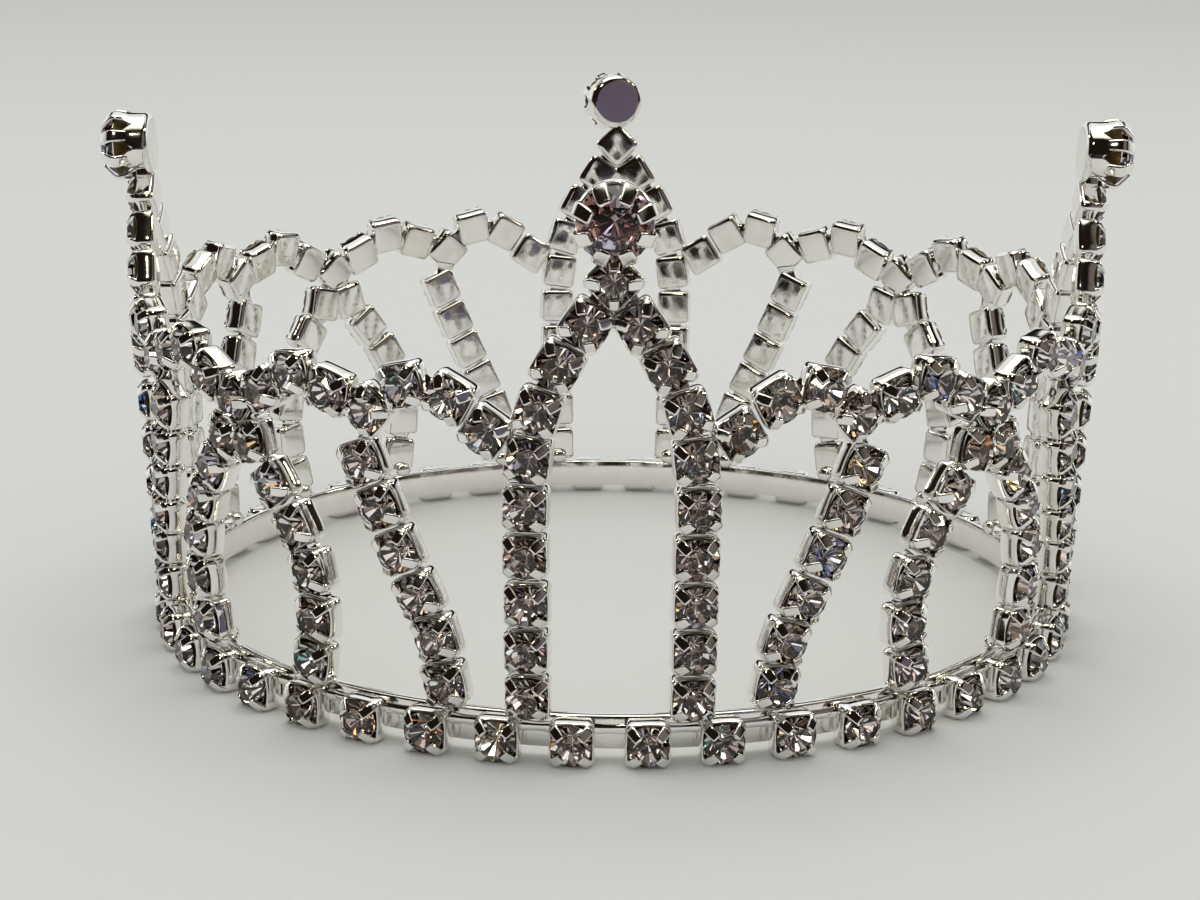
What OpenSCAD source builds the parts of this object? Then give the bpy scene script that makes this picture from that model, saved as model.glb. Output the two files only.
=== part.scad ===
// Jewelled crown: rhinestone cup chain soldered on a thin flat band, with four peaks round the ring.
// Millimetres. The crown stands on Z = 0 and its front peak faces -Y.
// A place on the wall is [across, up]: across is measured along the wall from the middle of a peak.

/* [Band] */
// Radius of the band's outer face
band_radius = 36.4; // [35.8:0.1:37]
// Thickness of the band's strip
band_thickness = 0.7; // [0.5:0.1:1]
// Width of the band's strip, from its lower to its upper edge
band_height = 2.5; // [2.2:0.1:2.5]
// Height of the band's lower edge above the floor
band_lift = 0.8; // [0.5:0.1:0.8]

/* [Cup chain] */
// Side of a square cup
cup_side = 3.2; // [3.1:0.05:3.2]
// Depth of a cup from its back to its rim
cup_depth = 1.5; // [1.4:0.05:1.5]
// Thickness of a cup's walls
cup_wall = 0.35; // [0.25:0.05:0.35]
// Distance from one cup to the next along the columns, scallops and arches
chain_link = 3.5; // [3.45:0.01:3.55]
// Distance from one cup to the next along a leg
leg_link = 3.4; // [3.35:0.01:3.45]
// Number of cups in the base chain, four quarters alike
base_count = 44; // [40:4:44]

/* [Stones] */
// Diameter of a small round stone
stone_diameter = 3.0; // [2.8:0.05:3]
// Height of a small stone's crown, from its widest line to its table
stone_crown = 0.6; // [0.5:0.05:0.7]
// Diameter of the large stone on each peak
tip_diameter = 5.2; // [5:0.05:5.2]
// Height of a large stone's crown, from its widest line to its table
tip_crown = 1.2; // [1:0.05:1.3]

/* [Wall] */
// Outward lean of the wall of chains, in degrees
flare = 3.2; // [2:0.1:4]
// Distance from a peak's middle to its two columns
column_across = 6.1; // [6.05:0.01:6.15]
// Distance from a peak's middle to the foot of the outer leg
leg_across = 12.4; // [12.3:0.05:12.5]
// Distance from the middle of a quarter to the foot of an arch
arch_across = 6.65; // [6.6:0.01:6.7]

/* [Hidden] */

// Turns of the four peaks, and of the quarters that follow each of them
front = 0;
right = 90;
back = 180;
left = 270;

// Lean of each link of a chain from upright, in degrees, from the foot upwards; inwards is positive
column_leans = [0, 0, 0, 0, 4, 11, 24, 34, 32];
leg_leans = [-10, -24, -25, -24, -22];
arch_leans = [-11, 4, 22, 36, 38];
// Rise of each link of the two scallops above level, from the column to the middle of the quarter
inner_rises = [31, 40, 10, -37];
outer_rises = [18, 14, -28, -21];
// Turns of the cups that stand at an angle to their chain
scallop_start_turn = 33;
scallop_next_turn = 29;
valley_turn = 42;
middle_turn = 45;
arch_top_turn = -14;
apex_turn = 45;
// Last cup of a column's upright part, where the scallop starts
column_bend = 5;

// Heights of the lowest cups' middles
band_top = band_lift + band_height;
base_up = cup_side / 2;
column_foot = band_top + cup_side / 2 + 0.1;
leg_foot = column_foot + 0.5;
arch_foot = column_foot + 0.35;

// The wall's back face leans out from a line just inside the band's outer face
wall_foot_radius = band_radius - 0.2;
wall_round_radius = 39.3;
quarter_across = wall_round_radius * PI / 4;

// Small stones: the widest line stands above the rim, and the point stays clear of the cup's floor
cup_floor = 0.3;
stone_sides = 8;
stone_radius = stone_diameter / 2;
stone_flat = stone_radius * cos(180 / stone_sides);
girdle_up = cup_depth + 0.3;
culet_up = cup_floor + 0.15;
table_share = 0.57;

// Prongs: each leans over a facet of the crown and keeps clear of it by the gap
prong_gap = 0.1;
prong_width = 0.5;
prong_thick = 0.18;
prong_start = 1.99;
prong_end = 0.98;
prong_sink = 0.06;

// Bridges between neighbouring cups, at the back
bridge_width = 0.9;
bridge_thick = 0.45;
bridge_up = 0.25;
bridge_bite = 0.2;

// Links between the base cups, in the band's upper half
base_link_width = 0.85;
base_link_depth = 0.45;
base_link_middle = 2.4;
base_link_bite = 0.25;
band_sink = 0.05;

// Large stone and its round cup
tip_sides = 16;
tip_radius = tip_diameter / 2;
tip_flat = tip_radius * cos(180 / tip_sides);
tip_back_radius = 2.05;
tip_foot_radius = 2.6;
tip_neck_radius = 2.68;
tip_neck_up = 1.9;
tip_rim_radius = 2.93;
tip_rim_up = 2.5;
tip_round = tip_foot_radius - tip_back_radius;
tip_wall = 0.3;
tip_floor = 0.4;
tip_girdle_up = 2.85;
tip_culet_up = 0.65;
tip_prongs = 8;
tip_prong_width = 0.95;
tip_prong_thick = 0.25;
tip_prong_end = 1.9;
tip_sink = 0.35;
// Turn of the back peak's round cup to one side, in degrees
back_tip_aside = 15;

// Drops of solder at the feet of the chains, inside the wall
drop_width = 1.6;
drop_height = 1.1;
drop_depth = 0.55;
drop_bite = 0.12;
drop_gap = 0.08;

// Points reached from `start` by links of one length, each leaning by its entry of `leans`
function chain(start, leans, link, i = 0) =
    i == len(leans) ? [start] :
    concat([start], chain(start + link * [-sin(leans[i]), cos(leans[i])], leans, link, i + 1));

// Turn of the cup at each point of a chain, along the line from its neighbour below to the one above
function turns(points) = [
    for (i = [0 : len(points) - 1])
    let (step = points[min(i + 1, len(points) - 1)] - points[max(i - 1, 0)])
    atan2(-step[0], step[1])
];

// Rows of [across, up, turn] for the cups from `first` to `last` of a chain
function rows(points, first, last) =
    let (turn = turns(points))
    [for (i = [first : last]) [points[i][0], points[i][1], turn[i]]];
function row_at(point, turn) = [point[0], point[1], turn];

function part_of(list, first, last) = [for (i = [first : last]) list[i]];
function level(rises) = [for (rise = rises) rise - 90];
function from_quarter(points) = [for (p = points) [quarter_across - p[0], p[1]]];

// The chains of one side of one peak, on the unrolled wall
column = chain([column_across, column_foot], column_leans, chain_link);
leg = chain([leg_across, leg_foot], leg_leans, leg_link);
inner_scallop = chain(column[column_bend], level(inner_rises), chain_link);
outer_scallop = chain(inner_scallop[4], level(outer_rises), chain_link);
arch = from_quarter(chain([arch_across, arch_foot], arch_leans, chain_link));
apex = [0, column[9][1]];
middle = [quarter_across, outer_scallop[4][1]];
tip_up = apex[1] + cup_side / 2 + tip_rim_radius - tip_sink;

// The cups of each chain
column_rows = concat(rows(column, 0, 8), [row_at(inner_scallop[1], scallop_start_turn)]);
scallop_rows = concat(
    [row_at(inner_scallop[2], scallop_next_turn)],
    rows(inner_scallop, 3, 3),
    [row_at(inner_scallop[4], valley_turn)],
    rows(outer_scallop, 1, 3)
);
leg_rows = rows(leg, 0, 5);
arch_rows = concat(rows(arch, 0, 4), [row_at(arch[5], arch_top_turn)]);
apex_row = row_at(apex, apex_turn);
middle_row = row_at(middle, middle_turn);
tip_row = [0, tip_up, 0];

// Pairs of points that a soldered bridge joins
function links(points) = [for (i = [0 : len(points) - 2]) [points[i], points[i + 1]]];
column_links = concat(
    links(part_of(column, 0, 8)),
    [[column[8], apex], [column[column_bend], inner_scallop[1]]]
);
side_links = concat(
    links(part_of(inner_scallop, 2, 4)),
    links(part_of(outer_scallop, 0, 3)),
    [[outer_scallop[3], middle]],
    links(leg),
    links(arch)
);

module round_the_wall(across) {
    rotate([0, 0, across / wall_round_radius * 180 / PI]) children();
}

// Puts its child on the wall, with the child's Z outwards and its Y up along the wall
module on_wall(row) {
    round_the_wall(row[0])
        translate([0, -wall_foot_radius - (row[1] - band_top) * tan(flare), row[1]])
            rotate([90 + flare, 0, 0])
                rotate([0, 0, row[2]])
                    children();
}

module both_sides() {
    children();
    mirror([1, 0, 0]) children();
}

// Both halves of a quarter: beside the peak at `turn`, and mirrored beside the next peak
module both_halves(turn) {
    rotate([0, 0, turn]) children();
    rotate([0, 0, turn + 90]) mirror([1, 0, 0]) children();
}

// One folded prong: it rises from `root` at the distance `start` from the stone's axis,
// bends in over a facet of the crown and ends at the distance `end`
module prong(start, end, width, thick, flat, girdle, crown, root) {
    slope = atan2(crown, flat * (1 - table_share));
    away = [sin(slope), cos(slope)];
    along = [-cos(slope), sin(slope)];
    under = [flat, girdle] + prong_gap * away;
    tip_in = under + along * (under[0] - end) / cos(slope);
    tip_out = tip_in + thick * away;
    bend_in = under - along * (start - thick - under[0]) / cos(slope);
    bend_out = tip_out - along * (start - tip_out[0]) / cos(slope);
    upright = bend_in[1] > root + prong_gap ? [bend_in] : [];
    rotate([90, 0, 0])
        translate([0, 0, -width / 2])
            linear_extrude(width)
                polygon(concat(
                    [[start - thick, root - prong_sink], [start, root - prong_sink]],
                    [bend_out, tip_out, tip_in],
                    upright
                ));
}

module cup() {
    pocket = cup_side - 2 * cup_wall;
    difference() {
        translate([-cup_side / 2, -cup_side / 2, 0]) cube([cup_side, cup_side, cup_depth]);
        translate([-pocket / 2, -pocket / 2, cup_floor]) cube([pocket, pocket, cup_depth]);
    }
    for (corner = [45 : 90 : 315])
        rotate([0, 0, corner])
            prong(prong_start, prong_end, prong_width, prong_thick,
                stone_flat, girdle_up, stone_crown, cup_depth);
}

module bridge(a, b) {
    span = norm(b - a) - cup_side + 2 * bridge_bite;
    on_wall([(a[0] + b[0]) / 2, (a[1] + b[1]) / 2, atan2(a[0] - b[0], b[1] - a[1])])
        translate([-bridge_width / 2, -span / 2, bridge_up])
            cube([bridge_width, span, bridge_thick]);
}

module drop(point) {
    round_the_wall(point[0])
        translate([-drop_width / 2, -wall_foot_radius - drop_bite, band_top + drop_gap])
            cube([drop_width, drop_depth, drop_height]);
}

// Puts its child where the round cup of the peak at `turn` sits
module on_tip(turn) {
    on_wall(tip_row) rotate([0, turn == back ? back_tip_aside : 0, 0]) children();
}

// A flat back, a rounded edge, a nearly upright wall and a flared rim with prongs
module tip_cup() {
    rounded_edge = [
        for (a = [-90 : 30 : 0])
            [tip_back_radius + tip_round * cos(a), tip_round * (1 + sin(a))]
    ];
    rotate_extrude($fn = 48)
        polygon(concat(
            [[0, 0]],
            rounded_edge,
            [
                [tip_neck_radius, tip_neck_up], [tip_rim_radius, tip_rim_up],
                [tip_rim_radius - tip_wall, tip_rim_up], [tip_neck_radius - tip_wall, tip_neck_up],
                [tip_foot_radius - tip_wall, tip_round], [tip_back_radius, tip_floor], [0, tip_floor]
            ]
        ));
    for (k = [0 : tip_prongs - 1])
        rotate([0, 0, (k + 0.5) * 360 / tip_prongs])
            prong(tip_rim_radius, tip_prong_end, tip_prong_width, tip_prong_thick,
                tip_flat, tip_girdle_up, tip_crown, tip_rim_up);
}

module band() {
    translate([0, 0, band_lift])
        difference() {
            cylinder(r = band_radius, h = band_height, $fn = 180);
            translate([0, 0, -1]) cylinder(r = band_radius - band_thickness, h = band_height + 2, $fn = 180);
        }
}

module base_link(step) {
    span = 2 * (band_radius + base_link_depth / 2) * tan(step / 2) - cup_side + 2 * base_link_bite;
    translate([-span / 2, -band_radius - base_link_depth + band_sink, base_link_middle - base_link_width / 2])
        cube([span, base_link_depth, base_link_width]);
}

module base_ring() {
    step = 360 / base_count;
    color("silver") {
        band();
        for (k = [0 : base_count - 1]) {
            rotate([0, 0, (k + 0.5) * step])
                translate([0, -band_radius + band_sink, base_up])
                    rotate([90, 0, 0])
                        cup();
            rotate([0, 0, k * step]) base_link(step);
        }
    }
}

// Two columns with the apex cup between their tops, the round cup above, and the first scallop cups
module peak_frame(turn) {
    color("silver") rotate([0, 0, turn]) {
        both_sides() {
            for (row = column_rows) on_wall(row) cup();
            for (pair = column_links) bridge(pair[0], pair[1]);
            drop(column[0]);
        }
        on_wall(apex_row) cup();
        on_tip(turn) tip_cup();
    }
}

// The scallops, legs and arch between two peaks
module side_frame(turn) {
    color("silver") {
        both_halves(turn) {
            for (row = concat(scallop_rows, leg_rows, arch_rows)) on_wall(row) cup();
            for (pair = side_links) bridge(pair[0], pair[1]);
            drop(leg[0]);
            drop(arch[0]);
        }
        rotate([0, 0, turn]) on_wall(middle_row) cup();
    }
}

// A round brilliant: table, crown facets to the widest line, pavilion facets to a point
module brilliant(radius, sides, girdle, crown, culet) {
    ring = [for (k = [0 : sides - 1]) (k + 0.5) * 360 / sides];
    polyhedron(
        points = concat(
            [for (a = ring) [radius * table_share * cos(a), radius * table_share * sin(a), girdle + crown]],
            [for (a = ring) [radius * cos(a), radius * sin(a), girdle]],
            [[0, 0, culet]]
        ),
        faces = concat(
            [[for (k = [0 : sides - 1]) sides - 1 - k]],
            [for (k = [0 : sides - 1]) [k, (k + 1) % sides, sides + (k + 1) % sides, sides + k]],
            [for (k = [0 : sides - 1]) [sides + k, sides + (k + 1) % sides, 2 * sides]]
        )
    );
}

module stone() {
    brilliant(stone_radius, stone_sides, girdle_up, stone_crown, culet_up);
}

module tip_stone(turn) {
    color("lavender")
        rotate([0, 0, turn])
            on_tip(turn)
                brilliant(tip_radius, tip_sides, tip_girdle_up, tip_crown, tip_culet_up);
}

module peak_stones(turn) {
    color("lightcyan") rotate([0, 0, turn]) {
        both_sides() for (row = column_rows) on_wall(row) stone();
        on_wall(apex_row) stone();
    }
}

module scallop_stones(turn) {
    color("lightblue") {
        both_halves(turn) for (row = scallop_rows) on_wall(row) stone();
        rotate([0, 0, turn]) on_wall(middle_row) stone();
    }
}

module leg_stones(turn) {
    color("lightsteelblue") both_halves(turn) for (row = leg_rows) on_wall(row) stone();
}

module arch_stones(turn) {
    color("aliceblue") both_halves(turn) for (row = arch_rows) on_wall(row) stone();
}

base_ring();
peak_frame(front);  // peak_frame_front
peak_frame(right);  // peak_frame_right
peak_frame(back);  // peak_frame_back
peak_frame(left);  // peak_frame_left
side_frame(front);  // side_frame_front_right
side_frame(right);  // side_frame_back_right
side_frame(back);  // side_frame_back_left
side_frame(left);  // side_frame_front_left
tip_stone(front);  // tip_stone_front
tip_stone(right);  // tip_stone_right
tip_stone(back);  // tip_stone_back
tip_stone(left);  // tip_stone_left
peak_stones(front);  // peak_stones_front
peak_stones(right);  // peak_stones_right
peak_stones(back);  // peak_stones_back
peak_stones(left);  // peak_stones_left
scallop_stones(front);  // scallop_stones_front_right
scallop_stones(right);  // scallop_stones_back_right
scallop_stones(back);  // scallop_stones_back_left
scallop_stones(left);  // scallop_stones_front_left
leg_stones(front);  // leg_stones_front_right
leg_stones(right);  // leg_stones_back_right
leg_stones(back);  // leg_stones_back_left
leg_stones(left);  // leg_stones_front_left
arch_stones(front);  // arch_stones_front_right
arch_stones(right);  // arch_stones_back_right
arch_stones(back);  // arch_stones_back_left
arch_stones(left);  // arch_stones_front_left
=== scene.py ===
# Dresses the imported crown: stamped cups with folded prongs, cut stones, a plain floor and soft light.

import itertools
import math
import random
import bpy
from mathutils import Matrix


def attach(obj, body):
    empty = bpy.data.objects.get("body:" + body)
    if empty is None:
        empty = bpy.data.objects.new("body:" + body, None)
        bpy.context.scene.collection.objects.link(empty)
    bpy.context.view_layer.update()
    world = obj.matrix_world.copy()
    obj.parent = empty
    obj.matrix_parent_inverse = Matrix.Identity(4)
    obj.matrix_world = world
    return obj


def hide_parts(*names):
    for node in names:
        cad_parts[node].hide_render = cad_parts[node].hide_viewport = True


bl_info = {
    "name": "Jewelled crown",
    "version": (1, 0, 0),
    "blender": (4, 5, 0),
    "location": "3D View > Sidebar > Crown",
    "description": "Cup chains, cut stones and a plain studio for the packed crown",
    "category": "Object",
}

from collections import namedtuple

import bmesh
import bpy
from bpy.props import FloatProperty, FloatVectorProperty, IntProperty, PointerProperty
from mathutils import Matrix, Vector

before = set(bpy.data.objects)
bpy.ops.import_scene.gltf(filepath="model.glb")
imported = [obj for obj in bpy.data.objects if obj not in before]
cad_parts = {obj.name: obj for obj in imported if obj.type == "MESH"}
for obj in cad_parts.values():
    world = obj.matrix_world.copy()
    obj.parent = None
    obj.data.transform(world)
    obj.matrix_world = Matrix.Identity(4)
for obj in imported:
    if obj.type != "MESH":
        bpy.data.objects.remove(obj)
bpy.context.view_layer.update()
MM = 0.001

PEAKS = {"front": 0, "right": 90, "back": 180, "left": 270}
QUARTERS = {"front_right": 0, "back_right": 90, "back_left": 180, "front_left": 270}

# A place on the wall, in millimetres along and up it, with the turn of the cup there in the wall and
# its nod out of it, in degrees
Spot = namedtuple("Spot", "across up turn nod", defaults=(0,))
# A cup's rim: its lowest height at the middle of a side and its height at a prong
Rim = namedtuple("Rim", "low high")
# A prong's path over the stone: distance from the stone's axis, height, the prong's width there,
# how far its middle bows out, and its thickness there as a share of the sheet's
Step = namedtuple("Step", "out up width bow thick")
# A colour of a ramp and where it stands
Stop = namedtuple("Stop", "at colour")
# A stone's cut: heights above its cup's back of its widest line and its point, and its crown's height
Cut = namedtuple("Cut", "girdle crown culet")
# A soldered joint's section, and its waist as a share of it
Joint = namedtuple("Joint", "width thick waist")
# A part of the room that the metal mirrors: the way to it, the cosines at which its tone starts and is full
Patch = namedtuple("Patch", "way start full tone")
# A small round lamp, in metres
Lamp = namedtuple("Lamp", "place radius")

UPRIGHT = Matrix.Rotation(math.radians(90), 4, "X")
MIRROR = Matrix.Diagonal((-1, 1, 1, 1))

# Lean of each link of a chain from upright, in degrees, from the foot upwards
COLUMN_LEANS = (0, 0, 0, 0, 4, 11, 24, 34, 32)
LEG_LEANS = (-10, -24, -25, -24, -22)
ARCH_LEANS = (-11, 4, 22, 36, 38)
# Rise of each link of the scallops above level
INNER_RISES = (31, 40, 10, -37)
OUTER_RISES = (18, 14, -28, -21)
COLUMN_BEND = 5
SCALLOP_START_TURN, SCALLOP_NEXT_TURN = 33, 29
VALLEY_TURN, MIDDLE_TURN, ARCH_TOP_TURN, APEX_TURN = 42, 45, -14, 45
# Gap under the columns' lowest cups, and how much higher the legs and arches start
FOOT_GAP, LEG_LIFT, ARCH_LIFT = 0.1, 0.5, 0.35
# Widest radius of the round cup on a peak, and how far it reaches down over the apex cup
TIP_RIM_RADIUS, TIP_SINK = 2.93, 0.35
# How far the base cups sink into the band
BASE_SINK = 0.05

# Bending by hand left the cups of the far scallops nodding inwards, in degrees
SCALLOP_NODS = {"front_right": 0, "back_right": -15, "back_left": -15, "front_left": 0}
# Height above a cup's back of the line about which it nods
NOD_HEIGHT = 1.0
# Soldering leaves the cups tilted by up to so many degrees, and the stones tipped in them
CUP_TILT, STONE_TILT = 1.8, 2.5

# A stone's girdle is so thick, as a share of its radius
GIRDLE_SHARE = 0.03
SMALL_CUT = Cut(1.8, 0.6, 0.45)
LARGE_CUT = Cut(2.85, 1.2, 0.65)

CUP_JOINT = Joint(2.0, 0.8, 0.8)
# How far a joint reaches into both of its cups together, the shortest gap, and its height above their backs
JOINT_BITE, JOINT_GAP, JOINT_UP = 0.5, 0.2, 0.6
BASE_LINK = Joint(0.85, 0.45, 0.72)
# A base link's distance outside the band, where its length is measured and where it lies, and its height
LINK_REACH, LINK_OUT, LINK_UP = 0.2, 0.18, 2.4
# Width, height and depth of the solder at a chain's foot, and its place inside the wall and above the band
FOOT_LUMP, FOOT_IN, FOOT_UP = (1.7, 1.3, 0.95), 0.28, 0.55
# How far the plate has yellowed, 0 to 1; each cup's own share is drawn by chance
PLAIN_TONE, LINK_TONE, JOINT_TONE, FOOT_TONE = 0.5, 0.2, 0.3, 0.6

SMALL_PRONG = (
    Step(1.72, 1.00, 0.70, 0.24, 1.0), Step(1.72, 1.56, 0.72, 0.22, 1.0), Step(1.72, 1.74, 0.74, 0.16, 1.0),
    Step(1.67, 1.89, 0.74, 0.06, 1.0), Step(1.57, 1.975, 0.74, 0.00, 1.0), Step(1.42, 2.07, 0.74, 0.00, 1.0),
    Step(1.10, 2.29, 0.70, 0.00, 1.0), Step(1.03, 2.335, 0.67, 0.00, 0.95),
    Step(0.98, 2.365, 0.60, 0.00, 0.7), Step(0.95, 2.38, 0.50, 0.00, 0.3),
)
TIP_PRONG = (
    Step(2.42, 1.80, 0.95, 0.10, 1.0), Step(2.62, 2.40, 1.00, 0.08, 1.0), Step(2.70, 2.78, 1.04, 0.03, 1.0),
    Step(2.66, 3.00, 1.06, 0.00, 1.0), Step(2.54, 3.13, 1.06, 0.00, 1.0), Step(2.40, 3.26, 1.06, 0.00, 1.0),
    Step(1.84, 3.79, 0.98, 0.00, 1.0), Step(1.74, 3.87, 0.92, 0.00, 0.92),
    Step(1.66, 3.92, 0.80, 0.00, 0.62), Step(1.62, 3.93, 0.66, 0.00, 0.25),
)
# A prong's section, from one side to the other: flat, with its edges eased by the stamping;
# place across in half widths, height in thicknesses
PRONG_TOP = (
    (-1.0, 0.25), (-0.97, 0.6), (-0.88, 0.85), (-0.76, 0.98), (-0.66, 1.0),
    (0.66, 1.0), (0.76, 0.98), (0.88, 0.85), (0.97, 0.6), (1.0, 0.25),
)
PRONG_UNDER = ((0.88, 0.0), (-0.88, 0.0))
TIP_PRONG_SHEET = 0.22
# Round cup: heights above its back, each with the wall's outer radius there
TIP_WALL = ((0.55, 2.60), (1.9, 2.68), (2.5, 2.90))


def linear(hex_colour):
    """Linear red, green, blue and alpha of an sRGB hex value"""
    parts = [int(hex_colour[i:i + 2], 16) / 255 for i in (1, 3, 5)]
    return (*(c / 12.92 if c <= 0.04045 else ((c + 0.055) / 1.055) ** 2.4 for c in parts), 1.0)


def stops_of(*tones):
    """Stops of a ramp from their places and sRGB hex values"""
    return tuple(Stop(at, linear(tone)) for at, tone in tones)


def tint(label, help_text, hex_colour):
    """A colour property that starts from an sRGB hex value"""
    return FloatVectorProperty(
        name=label, description=help_text, subtype="COLOR", size=4, min=0, max=1, default=linear(hex_colour)
    )


def length(label, help_text, millimetres):
    """A length property that starts from a size in millimetres"""
    return FloatProperty(
        name=label, description=help_text, unit="LENGTH", precision=5, default=millimetres * MM
    )


def slant(label, help_text, degrees):
    """An angle property that starts from degrees"""
    return FloatProperty(name=label, description=help_text, subtype="ANGLE", default=math.radians(degrees))


def factor(label, help_text, share):
    """A property between 0 and 1"""
    return FloatProperty(name=label, description=help_text, subtype="FACTOR", default=share)


class CrownSizes(bpy.types.PropertyGroup):
    """Sizes of the crown's cups, stones and wall"""

    band_radius: length("Band radius", "Radius of the band's outer face", 36.4)
    band_thickness: length("Band thickness", "Thickness of the band's strip", 0.7)
    band_height: length("Band height", "Width of the band's strip", 2.5)
    band_lift: length("Band lift", "Height of the band's lower edge above the floor", 0.8)
    base_count: IntProperty(name="Base cups", description="Cups in the base chain", default=44)
    cup_side: length("Cup side", "Side of a square cup", 3.2)
    cup_depth: length("Cup depth", "Depth of a cup at its corners", 1.62)
    cup_notch: length("Cup notch", "Depth of a cup at the middle of a side", 1.5)
    cup_dome: length("Cup dome", "Rise of a cup's softly domed back", 0.05)
    cup_edge: length("Cup edge", "Radius of the edge round a cup's back", 0.4)
    cup_sheet: length("Cup sheet", "Thickness of a cup's stamped walls", 0.2)
    cup_floor: length("Cup floor", "Thickness of a cup's back", 0.3)
    cup_corner: length("Cup corner", "Corner radius of a cup", 0.45)
    prong_sheet: length("Prong thickness", "Thickness of a folded prong", 0.15)
    chain_link: length("Chain link", "Distance between cups along columns, scallops and arches", 3.5)
    leg_link: length("Leg link", "Distance between cups along a leg", 3.4)
    stone_diameter: length("Stone diameter", "Diameter of a small stone", 3.08)
    tip_diameter: length("Large stone diameter", "Diameter of the stone on each peak", 5.2)
    column_across: length("Column place", "From a peak's middle to its columns", 6.1)
    leg_across: length("Leg place", "From a peak's middle to the foot of the outer leg", 12.4)
    arch_across: length("Arch place", "From a quarter's middle to the foot of an arch", 6.65)
    wall_foot: length("Wall foot radius", "Radius of the wall's back face at the band's top", 36.2)
    wall_round: length("Wall round radius", "Radius at which places along the wall are measured", 39.3)
    flare: slant("Flare", "Outward lean of the wall", 3.2)
    back_tip_aside: slant("Back cup turn", "Turn of the back peak's round cup to one side", 15)


class CrownFinish(bpy.types.PropertyGroup):
    """Colours and surface of the crown's metal and glass"""

    silver: tint("Silver", "Bright silver plate", "#F8F6F3")
    tarnish: tint("Tarnished silver", "Silver plate in places that polishing misses", "#EAE7E0")
    silver_roughness: factor("Silver roughness", "Roughness of the bright plate", 0.07)
    small_glass: tint("Small stones", "Clear crystal glass with a trace of smoke", "#F5F3F1")
    large_glass: tint("Large stones", "Clear crystal glass with a trace of rose", "#F6ECEC")
    lacquer: tint("Lacquer", "Bronze lacquer on the back of the foil", "#6E5C30")
    glass_index: FloatProperty(name="Glass IOR", description="Refractive index of the crystal", default=1.56)
    foil_roughness: factor("Foil roughness", "Roughness of the stones' foil", 0.0)


class CrownStudio(bpy.types.PropertyGroup):
    """The plain studio round the crown"""

    floor: tint("Floor", "Pale matt board", "#E7E7E4")
    floor_edge: tint("Floor's edge", "The board's front edge, as metal and glass show it", "#C9CAC8")
    backdrop: tint("Backdrop", "Plain tone past the board", "#CBCDCB")
    fill: tint("Fill", "Even light of the room on matt surfaces", "#CDCFCF")
    room: tint("Room", "Dim room in front of the board", "#1B1512")
    room_right: tint("Room at the right", "Mauve part of the dim room", "#5E5666")
    paper: tint("Paper", "Bright paper behind the crown", "#ECEEEC")
    ceiling: FloatVectorProperty(
        name="Ceiling", description="Brightly lit ceiling, brighter than white", subtype="COLOR", size=4,
        min=0, default=(1.35, 1.33, 1.08, 1.0),
    )
    lamp_power: FloatProperty(
        name="Lamp power", description="Power of the soft lamp", unit="POWER", default=1.7
    )
    lamp_colour: tint("Small lamps", "Light of the small lamps", "#FFF6D2")
    warm_colour: tint("Warm lamp", "Light of the warm lamp in front", "#FFF0C4")
    camera_lens: FloatProperty(
        name="Camera lens", description="Focal length in millimetres on a 36 mm sensor", default=68.58
    )


def node(tree, kind, inputs=None, **settings):
    """Adds a shader node with its settings; an input is given a value, a socket, or a node's first output"""
    made = tree.nodes.new(f"ShaderNode{kind}")
    for name, value in settings.items():
        setattr(made, name, value)
    for socket, value in (inputs or {}).items():
        if isinstance(value, bpy.types.Node):
            value = value.outputs[0]
        if isinstance(value, bpy.types.NodeSocket):
            tree.links.new(value, made.inputs[socket])
        else:
            made.inputs[socket].default_value = value
    return made


def ramp(tree, value, stops, blend="LINEAR"):
    """A colour by a value, from stops in order"""
    made = node(tree, "ValToRGB", {"Fac": value})
    made.color_ramp.interpolation = blend
    elements = made.color_ramp.elements
    while len(elements) < len(stops):
        elements.new(1.0)
    for element, stop in zip(elements, stops):
        element.position, element.color = stop.at, stop.colour
    return made


def maths(tree, operation, *values):
    """The result of an operation on values"""
    return node(tree, "Math", dict(enumerate(values)), operation=operation)


def facing(tree, aim, way):
    """How nearly a direction points one way, as a cosine"""
    return node(tree, "VectorMath", {0: aim, 1: way}, operation="DOT_PRODUCT").outputs["Value"]


def fade(tree, value, start, full, least=0.0, most=1.0):
    """A share that goes from `least` at one value to `most` at another"""
    ends = {"From Min": start, "From Max": full, "To Min": least, "To Max": most}
    return node(tree, "MapRange", {"Value": value, **ends})


def mix(tree, share, under, over):
    """A colour with another over it, by a share"""
    return node(tree, "MixRGB", {"Fac": share, "Color1": under, "Color2": over})


def noise(tree, size, detail):
    """Soft clouds of a size in millimetres"""
    place = node(tree, "TexCoord").outputs["Object"]
    return node(tree, "TexNoise", {"Vector": place, "Scale": 1 / (size * MM), "Detail": detail})


def relief(tree, size, detail, strength, depth, **under):
    """Bumps of a size and a depth in millimetres; another relief under them is given as Normal"""
    height = noise(tree, size, detail)
    return node(tree, "Bump", {"Height": height, "Strength": strength, "Distance": depth * MM, **under})


def surface(tree, colour, roughness, **others):
    """A shader of one colour and roughness; the other inputs' names are written with _ for a space"""
    named = {name.replace("_", " "): value for name, value in others.items()}
    return node(tree, "BsdfPrincipled", {"Base Color": colour, "Roughness": roughness, **named})


def tone_of_faces(tree):
    """The tone that each face of a form carries: on the metal its share of tarnish, on the foil the painted
    reflection that it picks
    """
    return node(tree, "Attribute", attribute_name="tone").outputs["Fac"]


def material(name, build, *choices):
    """The material of a name, made at its first use: `build` adds its nodes and returns its shader"""
    if name in bpy.data.materials:
        return bpy.data.materials[name]
    made = bpy.data.materials.new(name)
    made.use_nodes = True
    tree = made.node_tree
    tree.nodes.clear()
    node(tree, "OutputMaterial", {"Surface": build(tree, *choices)})
    return made


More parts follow.
